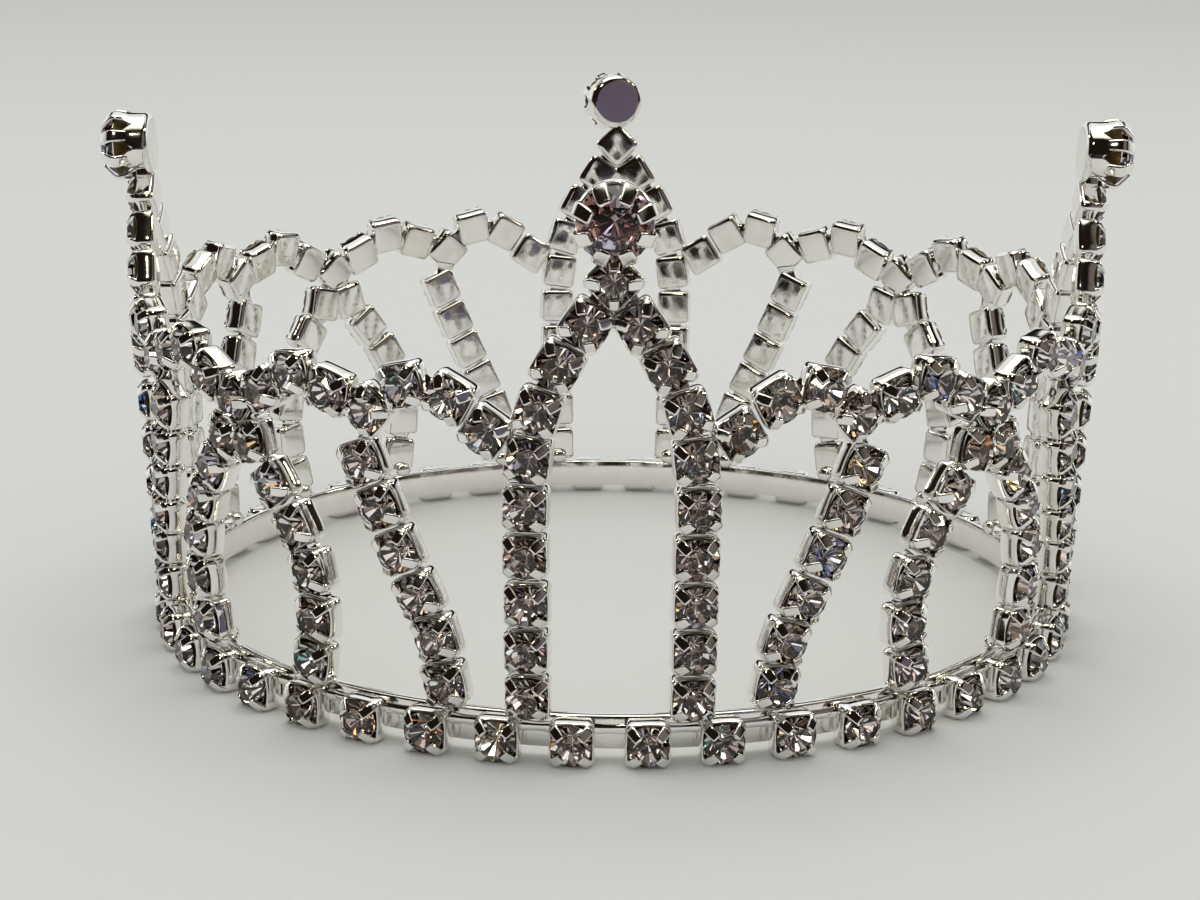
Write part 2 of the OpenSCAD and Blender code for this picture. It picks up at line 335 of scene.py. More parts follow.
def silver_plate(tree):
    """Silver plate on stamped brass, bright dipped"""
    # Mirror-like plate: tumbling leaves it softly wavy, and it yellows a little where it isn't rubbed
    finish = bpy.context.scene.crown_finish
    cloud = noise(tree, 1.4, 4.0)
    worn = maths(tree, "MULTIPLY", cloud, tone_of_faces(tree))
    colour = ramp(tree, worn, (Stop(0.2, tuple(finish.silver)), Stop(0.6, tuple(finish.tarnish))))
    rough = fade(tree, cloud, 0.35, 0.7, finish.silver_roughness * 0.7, finish.silver_roughness * 1.9)
    # Waves 0.45 mm long from tumbling, and a fine grain drawn at 0.08 mm so that it shows
    wavy = relief(tree, 0.45, 1.0, 0.2, 0.015)
    grainy = relief(tree, 0.08, 2.0, 0.15, 0.002, Normal=wavy)
    return surface(tree, colour, rough, Metallic=1.0, Normal=grainy)


def crystal_glass(tree, colour):
    """Clear lead crystal, cut and fire polished"""
    # The facets are sharp and clear, and the polish leaves only a faint ripple in what shows through
    index = bpy.context.scene.crown_finish.glass_index
    polish = relief(tree, 0.5, 1.0, 0.05, 0.002)
    return surface(tree, colour, 0.0, IOR=index, Transmission_Weight=1.0, Normal=polish)


def mirror_foil_with_painted_reflections(tree, stops):
    """Silver foil coated on the back of a stone, under bronze lacquer, its facets coloured with painted
    reflections
    """
    # Each facet mirrors another part of the room; over that its colour paints dark and light facets as
    # painted reflections and painted highlights, and a few painted flashes of the light that the glass
    # splits
    finish = bpy.context.scene.crown_finish
    colour = ramp(tree, tone_of_faces(tree), stops, "CONSTANT")
    crinkle = relief(tree, 0.3, 2.0, 0.1, 0.001)
    mirror = surface(tree, colour, finish.foil_roughness, Metallic=1.0, Normal=crinkle)
    # From outside it shows the lacquer that protects it
    lacquer = surface(tree, tuple(finish.lacquer), 0.3, Metallic=0.5)
    inside = node(tree, "NewGeometry").outputs["Backfacing"]
    return node(tree, "MixShader", {0: inside, 1: lacquer, 2: mirror})


# The foil's painted reflections, picked by chance, each from where it starts: mostly greys for painted shade
# and white for painted highlights, then rare painted flashes of colour
SMALL_FOIL_PAINTED_REFLECTIONS = stops_of(
    (0.00, "#665850"), (0.12, "#8E8078"), (0.26, "#B4A8A0"), (0.38, "#A09EAE"), (0.45, "#E4DED8"),
    (0.56, "#FFFFFF"), (0.86, "#E2D2C6"), (0.94, "#D8DAE4"), (0.984, "#F0A060"), (0.988, "#6A8CE0"),
    (0.992, "#A4DCDC"), (0.996, "#F4DC90"),
)
# The large stones' foil: painted reflections and painted highlights, with rare painted flashes of colour
LARGE_FOIL_PAINTED_REFLECTIONS = stops_of(
    (0.00, "#8A6C62"), (0.10, "#C6A8A0"), (0.28, "#DCD0CE"), (0.42, "#A8AEC2"), (0.54, "#C8A69C"),
    (0.66, "#EEECEE"), (0.80, "#BEC0D2"), (0.93, "#E8B888"), (0.955, "#7FA4DC"), (0.975, "#D4EEF4"),
)


class Form:
    """Points in millimetres, with faces that each have a finish and a tone"""

    def __init__(self):
        self.points, self.faces, self.finishes, self.tones = [], [], [], []

    def add(self, points, faces):
        """Adds points and faces with the first finish and a middling tone"""
        start = len(self.points)
        self.points.extend(Vector(p) for p in points)
        self.faces.extend(tuple(start + i for i in face) for face in faces)
        self.finishes.extend([0] * len(faces))
        self.tones.extend([PLAIN_TONE] * len(faces))

    def stamp(self, master, place, tone):
        """Adds a copy of another form at a place; `tone` is one for the whole copy, or draws each face's"""
        start = len(self.points)
        self.points.extend(place @ p for p in master.points)
        self.faces.extend(tuple(start + i for i in face) for face in master.faces)
        self.finishes.extend(master.finishes)
        self.tones.extend(tone() if callable(tone) else tone for _ in master.faces)

    def face_outwards(self):
        """Turns every face of the closed shells to look outwards"""
        shells = bmesh.new()
        corners = [shells.verts.new(p) for p in self.points]
        for face in self.faces:
            shells.faces.new([corners[i] for i in face])
        shells.verts.index_update()
        bmesh.ops.recalc_face_normals(shells, faces=shells.faces[:])
        self.faces = [tuple(v.index for v in face.verts) for face in shells.faces]
        shells.free()
        return self


def loft(rings, endless=False):
    """Faces between rings of one length: over the ends too, or from the last ring back to the first"""
    count, rows = len(rings[0]), len(rings)
    points = [p for ring in rings for p in ring]
    faces = []
    for r in range(rows if endless else rows - 1):
        low, high = r * count, (r + 1) % rows * count
        faces += [(low + i, low + (i + 1) % count, high + (i + 1) % count, high + i) for i in range(count)]
    if not endless:
        last = (rows - 1) * count
        faces += [tuple(range(count)), tuple(range(last, last + count))]
    return points, faces


def shell(points, faces):
    """A form of one closed shell"""
    form = Form()
    form.add(points, faces)
    return form.face_outwards()


def cut_form(points, glass, foil):
    """A stone's form, from the facets of clear glass and the foiled ones"""
    stone = shell(points, glass + foil)
    stone.finishes = [0] * len(glass) + [1] * len(foil)
    return stone


def round_points(distance, height, offset, count):
    """Points round the Z axis, `offset` steps on"""
    turns = (2 * math.pi * (k + offset) / count for k in range(count))
    return [(distance * math.cos(a), distance * math.sin(a), height) for a in turns]


def pairs(row):
    """Neighbours along a row"""
    return list(zip(row, row[1:]))


def turned(degrees, axis="Z"):
    """A turn about an axis; Z is the crown's, a cup's and a stone's"""
    return Matrix.Rotation(math.radians(degrees), 4, axis)


def lifted(height):
    """A move along the Z axis"""
    return Matrix.Translation((0, 0, height))


def swayed(draw, most, axis):
    """A turn about an axis by chance, up to so many degrees to either side"""
    return turned(draw.uniform(-most, most), axis)


def band_top(sizes):
    """Height of the band's upper edge, in millimetres"""
    return (sizes.band_lift + sizes.band_height) / MM


def square_path(half, corner, per_side=6, per_corner=3):
    """Points round a square with rounded corners: x, y and how near each is to a corner, 0 to 1"""
    straight = half - corner
    path = []
    for side in range(4):
        turn = Matrix.Rotation(math.radians(90 * side), 2)
        for i in range(per_side + 1):
            along = -straight + 2 * straight * i / per_side
            path.append((turn @ Vector((along, -half)), abs(along) / straight))
        for i in range(1, per_corner):
            angle = math.radians(-90 + 90 * i / per_corner)
            arc = Vector((straight + corner * math.cos(angle), -straight + corner * math.sin(angle)))
            path.append((turn @ arc, 1.0))
    return path


def prong(steps, sheet):
    """A folded prong along the X axis: a flat strip with eased edges and a blunt end"""
    rings = []
    for i, step in enumerate(steps):
        before, after = steps[max(i - 1, 0)], steps[min(i + 1, len(steps) - 1)]
        along = Vector((after.out - before.out, after.up - before.up)).normalized()
        away = Vector((along.y, -along.x))
        ring = []
        for across, height in PRONG_TOP + PRONG_UNDER:
            lift = height * step.thick * sheet + step.bow * (1 - across ** 2)
            ring.append((step.out + away.x * lift, across * step.width / 2, step.up + away.y * lift))
        rings.append(ring)
    return loft(rings)


def with_prongs(cup_rings, steps, sheet, turns):
    """A cup's form from the rings of its sheet, with a prong at each turn"""
    cup = Form()
    cup.add(*loft(cup_rings))
    points, faces = prong(steps, sheet)
    for turn in turns:
        cup.add([turned(turn) @ Vector(p) for p in points], faces)
    return cup.face_outwards()


def cup_form(sizes):
    """A stamped square cup: a softly domed back, a rim that dips a little and four prongs over the stone"""
    half, corner = sizes.cup_side / MM / 2, sizes.cup_corner / MM
    rim = Rim(sizes.cup_notch / MM, sizes.cup_depth / MM)
    sheet, floor = sizes.cup_sheet / MM, sizes.cup_floor / MM
    dome, edge, rim_round = sizes.cup_dome / MM, sizes.cup_edge / MM, sheet / 3
    flat, taper = half - edge, 0.04
    # Inset from the cup's side, height above the back or the rim, and which of the two it is
    profile = [(half - flat * share, 0.0, "back") for share in (0.3, 0.62, 0.9, 1.0)]
    for angle in (math.radians(a) for a in (25, 45, 67, 90)):
        profile.append((edge * (1 - math.sin(angle)), edge * (1 - math.cos(angle)), "back"))
    profile += [
        (0.0, -rim_round, "rim"), (rim_round, 0.0, "rim"), (sheet - rim_round, 0.0, "rim"),
        (sheet, -rim_round, "rim"), (sheet + taper, floor, "back"),
    ]
    rings = []
    for inset, height, level in profile:
        ring = []
        for spot, near in square_path(half - inset, max(corner - inset, 0.25 * (half - inset))):
            domed = dome * sum(min(abs(c) / flat, 1.0) ** 2 for c in spot) / 2
            start = domed if level == "back" else rim.low + (rim.high - rim.low) * near ** 2.4
            ring.append((spot.x, spot.y, start + height))
        rings.append(ring)
    return with_prongs(rings, SMALL_PRONG, sizes.prong_sheet / MM, (45, 135, 225, 315))


def between(table, x):
    """Value at x of a table of points, with straight lines between them"""
    x = min(max(x, table[0][0]), table[-1][0])
    for (x0, y0), (x1, y1) in pairs(table):
        if x <= x1:
            return y0 + (y1 - y0) * (x - x0) / (x1 - x0)


def tip_cup_form():
    """The round cup of a large stone: flat back, upright wall with leaf-shaped cut-outs, eight prongs"""
    prongs, around = 8, 128
    back_radius, edge, sheet, floor = 2.05, 0.55, 0.24, 0.4
    high, low, lip, dome = 2.45, 1.35, 0.09, 0.02

    def rim_at(angle):
        """Height of the rim, highest at a prong and lowest midway between two"""
        share = abs((angle / (2 * math.pi) * prongs) % 1 - 0.5) * 2
        fall = min(max(0.0, (share - 0.30) / 0.70), 1.0)
        return high - (high - low) * fall ** 0.8

    # Each ring is a list of radii and heights: the back, its rounded edge, the wall, the rim and the pocket
    rings = []
    for share in (0.5, 0.92, 1.0):
        rings.append([(back_radius * share, dome * share ** 2)] * around)
    for angle in (math.radians(a) for a in (25, 50, 75, 90)):
        rings.append([
            (back_radius + edge * math.sin(angle), dome + (edge - dome) * (1 - math.cos(angle)))
        ] * around)
    turns = [2 * math.pi * i / around for i in range(around)]
    for share in (0.4, 0.75):
        heights = (edge + (rim_at(t) - edge) * share for t in turns)
        rings.append([(between(TIP_WALL, z), z) for z in heights])
    for inset, height in ((0.0, -lip), (0.06, 0.0), (sheet - 0.08, 0.0), (sheet, -lip)):
        rings.append([(between(TIP_WALL, z) - inset, z) for z in (rim_at(t) + height for t in turns)])
    rings.append([(back_radius, floor)] * around)
    rings = [[(r * math.cos(t), r * math.sin(t), z) for (r, z), t in zip(ring, turns)] for ring in rings]
    return with_prongs(rings, TIP_PRONG, TIP_PRONG_SHEET, [(k + 0.5) * 360 / prongs for k in range(prongs)])


def chaton_form(radius, cut):
    """A small stone: a table and eight sloping facets in clear glass over sixteen foiled wedges"""
    table, edge = radius * 0.58, GIRDLE_SHARE * radius
    points = (
        round_points(table, cut.girdle + cut.crown, 0, 8) + round_points(radius, cut.girdle, 0, 16)
        + round_points(radius, cut.girdle - edge, 0, 16) + [(0, 0, cut.culet)]
    )
    # Where each ring of points starts
    top, under, point = 8, 24, 40
    glass = [tuple(range(8))]
    for k in range(8):
        first, middle, last = (top + (2 * k + i) % 16 for i in range(3))
        glass += [(k, (k + 1) % 8, last, first), (first, last, middle)]
    foil = []
    for i, after in pairs([*range(16), 0]):
        glass.append((top + i, top + after, under + after, under + i))
        foil.append((point, under + i, under + after))
    return cut_form(points, glass, foil)


def brilliant_form(radius, cut):
    """A large brilliant: table, stars, kites and halves in clear glass over a foiled back"""
    table, top, edge = radius * 0.57, cut.girdle + cut.crown, GIRDLE_SHARE * radius
    star_radius, half_radius = radius * 0.77, radius * 0.72
    rise = cut.crown / (radius - table)
    drop = (cut.girdle - edge - cut.culet) / radius
    # Share of its distance at which a corner between two mains stands across a main
    nook = math.cos(math.radians(22.5))
    star_up = top - (star_radius * nook - table) * rise
    half_up = cut.culet + half_radius * nook * drop
    points = (
        round_points(table, top, 0, 8) + round_points(star_radius, star_up, 0.5, 8)
        + round_points(radius, cut.girdle, 0, 16) + round_points(radius, cut.girdle - edge, 0, 16)
        + round_points(half_radius, half_up, 0.5, 8) + [(0, 0, cut.culet)]
    )
    # Where each ring of points starts
    stars, girdle_top, girdle_under, halves, point = 8, 16, 32, 48, 56
    glass, foil = [tuple(range(8))], []
    for k in range(8):
        after, before = (k + 1) % 8, (k - 1) % 8
        main, half, next_main = 2 * k, 2 * k + 1, (2 * k + 2) % 16
        glass += [
            (k, after, stars + k),
            (k, stars + before, girdle_top + main, stars + k),
            (stars + k, girdle_top + main, girdle_top + half),
            (stars + k, girdle_top + half, girdle_top + next_main),
        ]
        foil += [
            (halves + k, girdle_under + main, girdle_under + half),
            (halves + k, girdle_under + half, girdle_under + next_main),
            (point, halves + before, girdle_under + main, halves + k),
        ]
    for i, after in pairs([*range(16), 0]):
        glass.append((girdle_top + i, girdle_top + after, girdle_under + after, girdle_under + i))
    return cut_form(points, glass, foil)


def boxy(share):
    """A sine or cosine swollen towards 1 or -1, which makes a circle a rounded square"""
    return math.copysign(abs(share) ** 0.6, share)


def joint_form(span, size):
    """A soldered joint along the Y axis, narrower at its waist"""
    rings = []
    for share in (-1.0, -0.8, -0.35, 0.0, 0.35, 0.8, 1.0):
        swell = size.waist + (1 - size.waist) * abs(share) ** 1.6
        rings.append([
            (boxy(math.cos(a)) * size.width / 2 * swell, share * span / 2,
             boxy(math.sin(a)) * size.thick / 2 * swell)
            for a in (math.radians(18 + 36 * k) for k in range(10))
        ])
    return shell(*loft(rings))


def lump_form(width, height, depth):
    """A rounded lump of solder, flattened a little"""
    rows, around = 8, 16
    polars = (math.pi * r / rows for r in range(1, rows))
    points, faces = loft([round_points(math.sin(a), math.cos(a), 0, around) for a in polars])
    return shell([(x * width / 2, y * depth / 2, z * height / 2) for x, y, z in points], faces)


def band_form(sizes):
    """The flat band, with its edges rounded"""
    outer, thick = sizes.band_radius / MM, sizes.band_thickness / MM
    low, high = sizes.band_lift / MM, band_top(sizes)
    inner, ease, bevel = outer - thick, 0.12, 0.035
    # One corner of its section after the other, each in three points
    profile = (
        (outer - ease, low), (outer - bevel, low + bevel), (outer, low + ease),
        (outer, high - ease), (outer - bevel, high - bevel), (outer - ease, high),
        (inner + ease, high), (inner + bevel, high - bevel), (inner, high - ease),
        (inner, low + ease), (inner + bevel, low + bevel), (inner + ease, low),
    )
    rings = [round_points(radius, height, 0, 264) for radius, height in profile]
    return shell(*loft(rings, endless=True))


def chain(start, leans, link):
    """Points reached from `start` by links of one length, each at its lean"""
    points = [Vector(start)]
    for lean in leans:
        step = Vector((-math.sin(math.radians(lean)), math.cos(math.radians(lean))))
        points.append(points[-1] + link * step)
    return points


def turned_rows(points, first, last):
    """Spots for the cups from `first` to `last`, each in line with its neighbours"""
    rows = []
    for i in range(first, last + 1):
        step = points[min(i + 1, len(points) - 1)] - points[max(i - 1, 0)]
        rows.append(Spot(points[i].x, points[i].y, math.degrees(math.atan2(-step.x, step.y))))
    return rows


def spot_at(point, turn):
    """A cup at a point with a turn of its own"""
    return Spot(point.x, point.y, turn)


def level(rises):
    """Leans of links that rise by these angles above level"""
    return [rise - 90 for rise in rises]


def wall_plan(sizes, nod=0):
    """Every cup and joint of half a peak and half a quarter, on the unrolled wall; the scallops get `nod`"""
    link, side = sizes.chain_link / MM, sizes.cup_side / MM
    quarter = sizes.wall_round / MM * math.pi / 4
    foot = band_top(sizes) + side / 2 + FOOT_GAP
    column = chain((sizes.column_across / MM, foot), COLUMN_LEANS, link)
    leg = chain((sizes.leg_across / MM, foot + LEG_LIFT), LEG_LEANS, sizes.leg_link / MM)
    inner = chain(column[COLUMN_BEND], level(INNER_RISES), link)
    outer = chain(inner[4], level(OUTER_RISES), link)
    arch = chain((sizes.arch_across / MM, foot + ARCH_LIFT), ARCH_LEANS, link)
    arch = [Vector((quarter - p.x, p.y)) for p in arch]
    apex, middle = Vector((0, column[9].y)), Vector((quarter, outer[4].y))
    return {
        "column": turned_rows(column, 0, 8) + [spot_at(inner[1], SCALLOP_START_TURN)],
        "scallop": [spot._replace(nod=nod) for spot in (
            spot_at(inner[2], SCALLOP_NEXT_TURN), *turned_rows(inner, 3, 3),
            spot_at(inner[4], VALLEY_TURN), *turned_rows(outer, 1, 3),
        )],
        "leg": turned_rows(leg, 0, 5),
        "arch": turned_rows(arch, 0, 4) + [spot_at(arch[5], ARCH_TOP_TURN)],
        "apex": spot_at(apex, APEX_TURN),
        "middle": spot_at(middle, MIDDLE_TURN)._replace(nod=nod),
        "tip": Spot(0, apex.y + side / 2 + TIP_RIM_RADIUS - TIP_SINK, 0),
        "column_joints": pairs(column[:9]) + [(column[8], apex), (column[COLUMN_BEND], inner[1])],
        "side_joints": pairs(inner[2:5]) + pairs(outer[:4]) + pairs(leg) + pairs(arch)
        + [(outer[3], middle), (leg[5], inner[4]), (arch[5], middle)],
        "column_foot": column[0], "leg_foot": leg[0], "arch_foot": arch[0],
    }


def on_wall(sizes, spot):
    """Where a cup stands on the wall: its Z outwards, its Y up the wall"""
    out = sizes.wall_foot / MM + (spot.up - band_top(sizes)) * math.tan(sizes.flare)
    return (
        Matrix.Rotation(spot.across * MM / sizes.wall_round, 4, "Z")
        @ Matrix.Translation((0, -out, spot.up))
        @ Matrix.Rotation(math.radians(90) + sizes.flare, 4, "X")
        @ lifted(NOD_HEIGHT) @ turned(spot.nod, "X") @ lifted(-NOD_HEIGHT) @ turned(spot.turn)
    )


def on_tip(sizes, spot, peak):
    """Where the round cup of a peak sits; the back one is turned aside"""
    aside = sizes.back_tip_aside if peak == "back" else 0.0
    return turned(PEAKS[peak]) @ on_wall(sizes, spot) @ Matrix.Rotation(aside, 4, "Y")


def both_sides(turn):
    """The two sides of the peak at `turn`"""
    return turned(turn), turned(turn) @ MIRROR


def both_halves(turn):
    """The two halves of the quarter that follows the peak at `turn`"""
    return turned(turn), turned(turn + 90) @ MIRROR


def stamp_mirrored(form, master, side, place, tone):
    """Stamps a form; in a mirrored half it is mirrored twice, so that its faces stay outwards"""
    fold = MIRROR if side.determinant() < 0 else Matrix.Identity(4)
    form.stamp(master, side @ place @ fold, tone)


def add_joints(form, sizes, joints, side):
    """Soldered joints between neighbouring cups"""
    for a, b in joints:
        gap = (b - a).length - sizes.cup_side / MM
        middle, turn = (a + b) / 2, math.degrees(math.atan2(a.x - b.x, b.y - a.y))
        joint = joint_form(max(gap, JOINT_GAP) + JOINT_BITE, CUP_JOINT)
        place = on_wall(sizes, spot_at(middle, turn)) @ lifted(JOINT_UP)
        stamp_mirrored(form, joint, side, place, JOINT_TONE)


def add_foot(form, sizes, foot, side):
    """The lump of solder that holds a chain's foot to the band, inside the wall"""
    inside = Matrix.Translation((0, -sizes.wall_foot / MM + FOOT_IN, band_top(sizes) + FOOT_UP))
    place = Matrix.Rotation(foot.x * MM / sizes.wall_round, 4, "Z") @ inside
    stamp_mirrored(form, lump_form(*FOOT_LUMP), side, place, FOOT_TONE)


def make_piece(name, form, finishes, nodes, smooth=False):
    """Makes the object, gives it its finishes and ties it to the frame"""
    mesh = bpy.data.meshes.new(name)
    mesh.from_pydata([p * MM for p in form.points], [], form.faces)
    for finish in finishes:
        mesh.materials.append(finish)
    mesh.polygons.foreach_set("material_index", form.finishes)
    mesh.attributes.new("tone", "FLOAT", "FACE").data.foreach_set("value", form.tones)
    if smooth:
        mesh.shade_smooth()
        mesh.set_sharp_from_angle(angle=math.radians(48))
    else:
        mesh.shade_flat()
    piece = bpy.data.objects.new(name, mesh)
    bpy.context.scene.collection.objects.link(piece)
    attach(piece, "root")
    if nodes:
        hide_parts(*nodes)


def metal_piece(name, form):
    """A piece of silver-plated metal in the place of the node of this name"""
    plate = material("silver_plate_bright_dipped", silver_plate)
    make_piece(f"{name}_detail", form, [plate], [name], smooth=True)


def stone_finishes(size, colour, stops):
    """Glass and foil of the stones of one size, the foil coloured with painted reflections"""
    glass = material(f"lead_crystal_cut_{size}", crystal_glass, tuple(colour))
    return glass, material(f"silver_foil_painted_reflections_{size}", mirror_foil_with_painted_reflections, stops)


def painted_dark_light_turns(draw):
    """Tones for facets side by side, picking painted reflections: dark and light in turn"""
    turns = itertools.cycle(((0.0, 0.45), (0.45, 1.0)))
    return lambda: draw.uniform(*next(turns))


def loose(draw):
    """A cup's small tilt by chance, as soldering leaves it"""
    return swayed(draw, CUP_TILT, "X") @ swayed(draw, CUP_TILT, "Y")


def cut_stone(form, master, draw, side, place):
    """Stamps a small stone, turned and tipped a little by chance as it sits in its cup"""
    up = SMALL_CUT.girdle
    sit = turned(draw.uniform(0, 360)) @ lifted(up) @ swayed(draw, STONE_TILT, "X") @ lifted(-up)
    # Its facets pick dark and light painted reflections in turn
    stamp_mirrored(form, master, side, place @ sit, painted_dark_light_turns(draw))


def small_stone(sizes):
    """A small stone, its widest line just above the cup's rim"""
    return chaton_form(sizes.stone_diameter / MM / 2, SMALL_CUT)


def small_stones_piece(name, form, nodes):
    """A piece of small stones with their glass and foil, the foil's facets coloured with painted reflections
    """
    finishes = stone_finishes("small", bpy.context.scene.crown_finish.small_glass, SMALL_FOIL_PAINTED_REFLECTIONS)
    make_piece(name, form, finishes, nodes)


def stones_piece(name, sizes, spots, sides, single=()):
    """A piece of small stones: `spots` on each side, and `single` stones once"""
    form, master, draw = Form(), small_stone(sizes), random.Random(name)
    for side in sides:
        for spot in spots:
            cut_stone(form, master, draw, side, on_wall(sizes, spot))
    for spot in single:
        cut_stone(form, master, draw, sides[0], on_wall(sizes, spot))
    small_stones_piece(f"{name}_cut", form, [name])


def base_seat(sizes):
    """Seat of a cup of the base chain on the band: its Z outwards, its Y up"""
    out = BASE_SINK - sizes.band_radius / MM
    return Matrix.Translation((0, out, sizes.cup_side / MM / 2)) @ UPRIGHT


class CrownPiece:
    """What the operators of the crown's pieces share"""

    bl_options = {"REGISTER", "UNDO"}

    def execute(self, context):
        """Makes the operator's pieces from the crown's sizes"""
        self.build(context.scene.crown_sizes)
        return {"FINISHED"}


class CROWN_OT_base_ring(CrownPiece, bpy.types.Operator):
    """Builds the band, the cups of the base chain and the links between them"""

    bl_idname = "crown.base_ring"
    bl_label = "Base ring"

    def build(self, sizes):
        """Makes the piece"""
        form, cup, draw = band_form(sizes), cup_form(sizes), random.Random("base ring")
        step, out = 360 / sizes.base_count, sizes.band_radius / MM
        pitch = 2 * (out + LINK_REACH) * math.tan(math.radians(step / 2))
        link = joint_form(pitch - sizes.cup_side / MM + JOINT_BITE, BASE_LINK)
        across = turned(90) @ turned(90, "Y")
        for k in range(sizes.base_count):
            form.stamp(cup, turned((k + 0.5) * step) @ base_seat(sizes), draw.random())
            middle = Matrix.Translation((0, -LINK_OUT - out, LINK_UP))
            form.stamp(link, turned(k * step) @ middle @ across, LINK_TONE)
        metal_piece("base_ring", form)


class CROWN_OT_base_stones(CrownPiece, bpy.types.Operator):
    """Sets a cut stone in every cup of the base chain"""

    bl_idname = "crown.base_stones"
    bl_label = "Base stones"

    def build(self, sizes):
        """Makes the piece"""
        form, master, draw = Form(), small_stone(sizes), random.Random("base_stones")
        for k in range(sizes.base_count):
            cut_stone(form, master, draw, turned((k + 0.5) * 360 / sizes.base_count), base_seat(sizes))
        small_stones_piece("base_stones", form, [])


class CROWN_OT_peak_frames(CrownPiece, bpy.types.Operator):
    """Builds the columns, the apex cup and the round cup of each peak"""

    bl_idname = "crown.peak_frames"
    bl_label = "Peak frames"

    def build(self, sizes):
        """Makes the four pieces"""
        plan, cup, tip = wall_plan(sizes), cup_form(sizes), tip_cup_form()
        for peak, turn in PEAKS.items():
            form, draw = Form(), random.Random(f"peak frame {peak}")
            for side in both_sides(turn):
                for spot in plan["column"]:
                    stamp_mirrored(form, cup, side, on_wall(sizes, spot) @ loose(draw), draw.random())
                add_joints(form, sizes, plan["column_joints"], side)
                add_foot(form, sizes, plan["column_foot"], side)
            form.stamp(cup, turned(turn) @ on_wall(sizes, plan["apex"]), draw.random())
            form.stamp(tip, on_tip(sizes, plan["tip"], peak), draw.random())
            metal_piece(f"peak_frame_{peak}", form)


class CROWN_OT_side_frames(CrownPiece, bpy.types.Operator):
    """Builds the scallops, legs and arch of each quarter"""

    bl_idname = "crown.side_frames"
    bl_label = "Side frames"

    def build(self, sizes):
        """Makes the four pieces"""
        cup = cup_form(sizes)
        for quarter, turn in QUARTERS.items():
            plan, form = wall_plan(sizes, SCALLOP_NODS[quarter]), Form()
            draw = random.Random(f"side frame {quarter}")
            for side in both_halves(turn):
                for spot in plan["scallop"] + plan["leg"] + plan["arch"]:
                    stamp_mirrored(form, cup, side, on_wall(sizes, spot) @ loose(draw), draw.random())
                add_joints(form, sizes, plan["side_joints"], side)
                add_foot(form, sizes, plan["leg_foot"], side)
                add_foot(form, sizes, plan["arch_foot"], side)
            form.stamp(cup, turned(turn) @ on_wall(sizes, plan["middle"]), draw.random())
            metal_piece(f"side_frame_{quarter}", form)


class CROWN_OT_tip_stones(CrownPiece, bpy.types.Operator):
    """Sets the large cut stone on each peak"""

    bl_idname = "crown.tip_stones"
    bl_label = "Large stones"

    def build(self, sizes):
        """Makes the four pieces"""
        plan = wall_plan(sizes)
        master = brilliant_form(sizes.tip_diameter / MM / 2, LARGE_CUT)
        finishes = stone_finishes("large", bpy.context.scene.crown_finish.large_glass, LARGE_FOIL_PAINTED_REFLECTIONS)
        for peak in PEAKS:
            form, draw = Form(), random.Random(f"tip stone {peak}")
            sit = turned(draw.uniform(0, 360))
            # Each face draws by chance the painted reflection of the foil that it shows
            form.stamp(master, on_tip(sizes, plan["tip"], peak) @ sit, draw.random)
            name = f"tip_stone_{peak}"
            make_piece(f"{name}_cut", form, finishes, [name])


class CROWN_OT_peak_stones(CrownPiece, bpy.types.Operator):
    """Sets the small stones of each peak"""

    bl_idname = "crown.peak_stones"
    bl_label = "Peak stones"

    def build(self, sizes):
        """Makes the four pieces"""
        plan = wall_plan(sizes)
        for peak, turn in PEAKS.items():
            stones_piece(f"peak_stones_{peak}", sizes, plan["column"], both_sides(turn), [plan["apex"]])


class CROWN_OT_side_stones(CrownPiece, bpy.types.Operator):
    """Sets the small stones of the scallops, legs and arches"""

    bl_idname = "crown.side_stones"
    bl_label = "Side stones"

    def build(self, sizes):
        """Makes the twelve pieces"""
        for quarter, turn in QUARTERS.items():
            plan = wall_plan(sizes, SCALLOP_NODS[quarter])
            for kind, single in (("scallop", [plan["middle"]]), ("leg", []), ("arch", [])):
                stones_piece(f"{kind}_stones_{quarter}", sizes, plan[kind], both_halves(turn), single)


# Half the floor's width, the board's front end and how wide its edge fades, in metres
FLOOR_REACH, BOARD_END, BOARD_FADE = 4.0, -0.175, 0.025
# Where the mauve part of the dim room starts and is full, to the right of the crown, in metres
MAUVE_START, MAUVE_FULL = 0.10, 0.12
# Mauve low in front on the right, which the back of the far round cup mirrors, and grey above it, which
# the prongs turned that way mirror
PATCHES = (
    Patch((0.5, -0.866, 0.03), 0.95, 0.975, "#5E5464"), Patch((0.73, -0.55, 0.41), 0.90, 0.97, "#6A625C"),
)
# Tones of the room in the stones, from the darkest wall to a window
ROOM_STOPS = stops_of(
    (0.0, "#1B1614"), (0.22, "#6A5E5A"), (0.42, "#B4ACA8"), (0.62, "#E8E4E0"), (0.8, "#FFFFFF")
)
# Patches from this share on are windows
WINDOW_START = 0.86
# The way to a warm lamp in front and above, which shows low in each stone of the front, and the cosine of
# its half width
WARM_WAY, WARM_WIDTH = (0.0, -0.755, 0.655), 0.988
# How much brighter than white paper a window and the warm lamp are
LAMP_GAIN = 2.5
SMALL_LAMPS = (
    Lamp((-0.2, -0.75, 0.75), 0.05), Lamp((0.75, -0.1, 0.75), 0.04), Lamp((0.1, 0.5, 1.0), 0.06),
    Lamp((-0.7, 0.3, 0.5), 0.04), Lamp((0.75, 0.15, 0.55), 0.04),
)
# Where the camera stands in millimetres and how it is turned in degrees, fitted to the crown's stones
CAMERA_PLACE, CAMERA_TURN = (0.3, -188.7, 61.35), (75.7695, -0.4750, 0.5605)


def card(name, corners, finish):
    """A flat card of the studio"""
    mesh = bpy.data.meshes.new(name)
    mesh.from_pydata(corners, [], [tuple(range(len(corners)))])
    mesh.materials.append(finish)
    sheet = bpy.data.objects.new(name, mesh)
    bpy.context.scene.collection.objects.link(sheet)
    return sheet


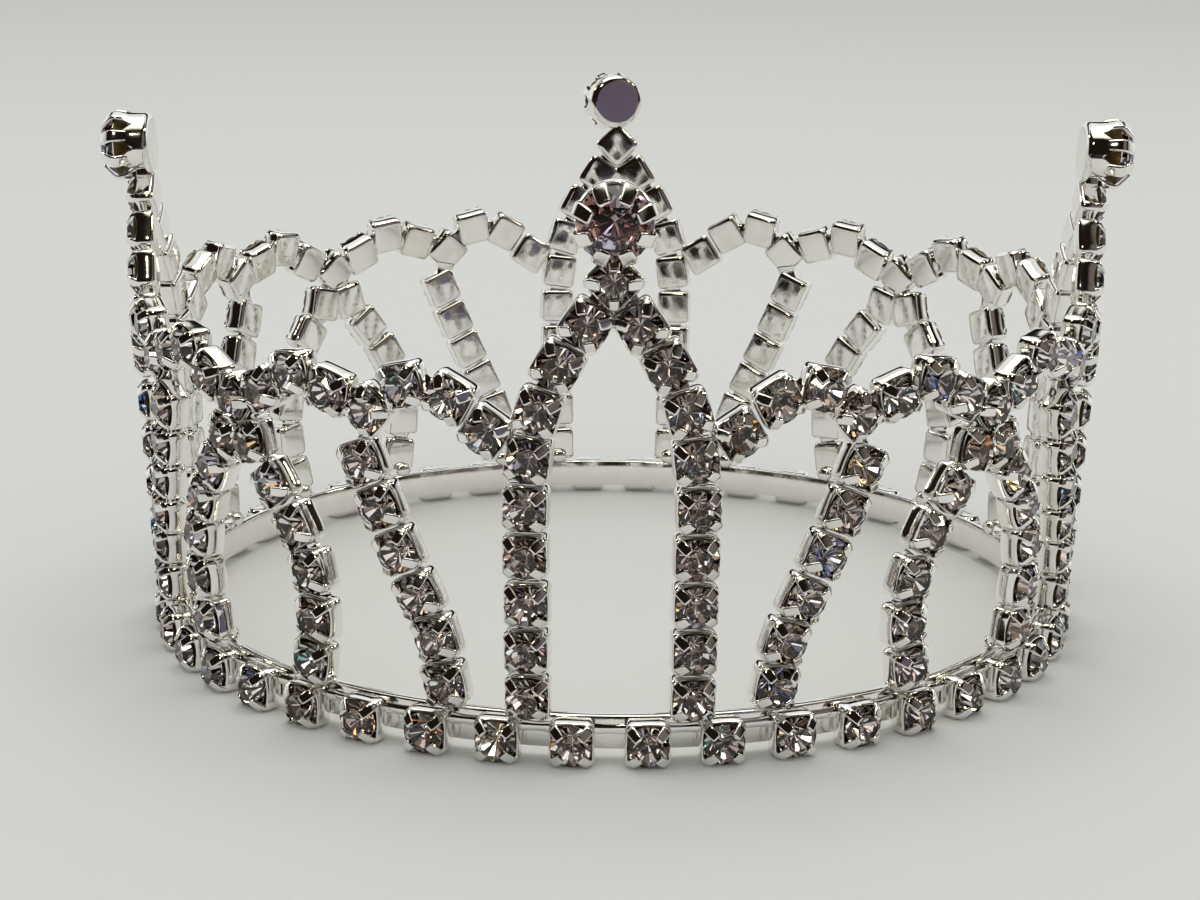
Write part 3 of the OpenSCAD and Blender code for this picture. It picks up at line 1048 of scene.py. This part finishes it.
def matt_board(tree):
    """Uncoated board, pressed"""
    # Matt and softly toothed; past its front end the metal and the glass show the dim room instead
    studio = bpy.context.scene.crown_studio
    matt = surface(tree, tuple(studio.floor), 0.75, Normal=relief(tree, 1.2, 3.0, 0.1, 0.02))
    x, y, _ = node(tree, "SeparateXYZ", {"Vector": node(tree, "TexCoord").outputs["Object"]}).outputs
    edge = fade(tree, y, BOARD_END - BOARD_FADE, BOARD_END)
    stops = Stop(MAUVE_START, tuple(studio.room)), Stop(MAUVE_FULL, tuple(studio.room_right))
    colour = mix(tree, edge, ramp(tree, x, stops), tuple(studio.floor_edge))
    dim = node(tree, "Emission", {"Color": colour})
    past = maths(tree, "LESS_THAN", y, BOARD_END)
    path = node(tree, "LightPath").outputs
    mirrored = maths(tree, "MAXIMUM", path["Is Glossy Ray"], path["Is Transmission Ray"])
    share = maths(tree, "MULTIPLY", past, mirrored)
    return node(tree, "MixShader", {0: share, 1: matt, 2: dim})


def lamp_glass(tree):
    """Opal glass, blown and lit from inside"""
    # Evenly bright, so that it shows as one clear spark
    colour = tuple(bpy.context.scene.crown_studio.lamp_colour)
    return node(tree, "Emission", {"Color": colour, "Strength": 30.0})


def mirrored_room(tree, aim, y, z):
    """What the metal mirrors: a colour, and the colours that lie over it, each with its share"""
    studio = bpy.context.scene.crown_studio
    behind = ramp(tree, y, (Stop(0.12, tuple(studio.room)), Stop(0.5, tuple(studio.paper))))
    # Above the paper's edge there is a strip of dark room
    edges = stops_of((0.31, "#000000"), (0.34, "#FFFFFF"), (0.56, "#FFFFFF"), (0.60, "#000000"))
    strip = ramp(tree, z, edges)
    layers = [(strip, tuple(studio.room))]
    for patch in PATCHES:
        share = fade(tree, facing(tree, aim, patch.way), patch.start, patch.full)
        layers.append((share, linear(patch.tone)))
    return behind, layers + [(fade(tree, z, 0.86, 0.92), tuple(studio.ceiling))]


def room_in_stones(tree, aim, x, y):
    """What the stones' facets pick out one by one: the colour, and where a window or a lamp shines"""
    studio = bpy.context.scene.crown_studio
    patches = node(tree, "TexVoronoi", {"Vector": aim, "Scale": 3.6}, feature="F1")
    shade = node(tree, "SeparateColor", {"Color": patches.outputs["Color"]}).outputs["Red"]
    warm = maths(tree, "GREATER_THAN", facing(tree, aim, WARM_WAY), WARM_WIDTH)
    lit = mix(tree, warm, ramp(tree, shade, ROOM_STOPS, "CONSTANT"), tuple(studio.warm_colour))
    # Paper behind and at the right
    behind, right = fade(tree, y, -0.15, 0.2, most=0.9), fade(tree, x, 0.72, 0.9, most=0.8)
    colour = mix(tree, maths(tree, "MAXIMUM", behind, right), lit, tuple(studio.paper))
    window = maths(tree, "GREATER_THAN", shade, WINDOW_START)
    return colour, maths(tree, "MAXIMUM", window, warm)


class CROWN_OT_stage(bpy.types.Operator):
    """Sets the floor, the room, the lamps and the camera"""

    bl_idname = "crown.stage"
    bl_label = "Stage"

    def execute(self, context):
        """Makes the studio"""
        studio = context.scene.crown_studio
        self.make_floor()
        self.make_room(studio)
        self.make_lamps(studio)
        self.make_camera(studio)
        context.scene.view_settings.view_transform = "Standard"
        return {"FINISHED"}

    def make_floor(self):
        """A wide floor, whose dim part sends no light of its own"""
        corners = [(x * FLOOR_REACH, y * FLOOR_REACH, 0) for x, y in ((-1, -1), (1, -1), (1, 1), (-1, 1))]
        board = material("matt_board_pressed", matt_board)
        board.cycles.emission_sampling = "NONE"
        card("floor", corners, board)

    def make_room(self, studio):
        """One room for metal, one for glass, even light for the board and a plain tone for the camera"""
        world = bpy.data.worlds.new("studio")
        bpy.context.scene.world = world
        world.use_nodes = True
        tree = world.node_tree
        tree.nodes.clear()
        aim = node(tree, "TexCoord").outputs["Generated"]
        x, y, z = node(tree, "SeparateXYZ", {"Vector": aim}).outputs
        path = node(tree, "LightPath").outputs
        colour, layers = mirrored_room(tree, aim, y, z)
        in_stones, shines = room_in_stones(tree, aim, x, y)
        through = path["Is Transmission Ray"]
        layers += [
            (through, in_stones), (path["Is Diffuse Ray"], tuple(studio.fill)),
            (path["Is Camera Ray"], tuple(studio.backdrop)),
        ]
        for share, over in layers:
            colour = mix(tree, share, colour, over)
        bright = maths(tree, "MULTIPLY", shines, through)
        power = maths(tree, "MULTIPLY_ADD", bright, LAMP_GAIN, 1.0)
        back = node(tree, "Background", {"Color": colour, "Strength": power})
        node(tree, "OutputWorld", {"Surface": back})

    def make_lamps(self, studio):
        """A wide soft lamp overhead, and small bright ones that only the polished metal and glass show"""
        soft = bpy.data.lights.new("soft_lamp", "AREA")
        soft.shape, soft.size, soft.size_y = "RECTANGLE", 0.7, 0.5
        soft.energy, soft.color = studio.lamp_power, (1.0, 0.99, 0.98)
        over = bpy.data.objects.new("soft_lamp", soft)
        over.location = (0.0, 0.12, 0.85)
        over.rotation_euler = (Vector((0, 0, 0.02)) - over.location).to_track_quat("-Z", "Y").to_euler()
        bpy.context.scene.collection.objects.link(over)
        for k, lamp in enumerate(SMALL_LAMPS):
            centre = Vector(lamp.place)
            lean = (-centre).to_track_quat("Z", "Y").to_matrix()
            corners = [centre + lean @ Vector(p) for p in round_points(lamp.radius, 0, 0, 24)]
            spark = card(f"small_lamp_{k}", corners, material("opal_glass_lit", lamp_glass))
            spark.visible_camera = spark.visible_diffuse = spark.visible_shadow = False

    def make_camera(self, studio):
        """The camera, at the photograph's angle"""
        camera = bpy.data.cameras.new("camera")
        camera.sensor_width, camera.lens = 36, studio.camera_lens
        camera.clip_start, camera.clip_end = 0.005, 20
        seat = bpy.data.objects.new("camera", camera)
        seat.location = [c * MM for c in CAMERA_PLACE]
        seat.rotation_euler = [math.radians(a) for a in CAMERA_TURN]
        bpy.context.scene.collection.objects.link(seat)
        bpy.context.scene.camera = seat


PIECES = (
    CROWN_OT_stage, CROWN_OT_base_ring, CROWN_OT_base_stones, CROWN_OT_peak_frames, CROWN_OT_side_frames,
    CROWN_OT_tip_stones, CROWN_OT_peak_stones, CROWN_OT_side_stones,
)


class CROWN_PT_panel(bpy.types.Panel):
    """Lists the crown's operators and properties"""

    bl_idname = "CROWN_PT_panel"
    bl_label = "Jewelled crown"
    bl_space_type = "VIEW_3D"
    bl_region_type = "UI"
    bl_category = "Crown"

    def draw(self, context):
        """Draws the panel"""
        for piece in PIECES:
            self.layout.operator(piece.bl_idname)
        for group in (context.scene.crown_sizes, context.scene.crown_finish, context.scene.crown_studio):
            box = self.layout.box()
            for name in group.bl_rna.properties.keys():
                if name not in ("name", "rna_type"):
                    box.prop(group, name)


CLASSES = (CrownSizes, CrownFinish, CrownStudio, *PIECES, CROWN_PT_panel)


def register():
    """Registers the classes and their settings"""
    for made in CLASSES:
        bpy.utils.register_class(made)
    bpy.types.Scene.crown_sizes = PointerProperty(type=CrownSizes)
    bpy.types.Scene.crown_finish = PointerProperty(type=CrownFinish)
    bpy.types.Scene.crown_studio = PointerProperty(type=CrownStudio)


def unregister():
    """Removes the settings and the classes"""
    del bpy.types.Scene.crown_studio
    del bpy.types.Scene.crown_finish
    del bpy.types.Scene.crown_sizes
    for made in reversed(CLASSES):
        bpy.utils.unregister_class(made)


def main():
    """Makes the stage and every piece"""
    register()
    bpy.ops.crown.stage()
    bpy.ops.crown.base_ring()
    bpy.ops.crown.base_stones()
    bpy.ops.crown.peak_frames()
    bpy.ops.crown.side_frames()
    bpy.ops.crown.tip_stones()
    bpy.ops.crown.peak_stones()
    bpy.ops.crown.side_stones()
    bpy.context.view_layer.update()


if __name__ == "__main__":
    main()
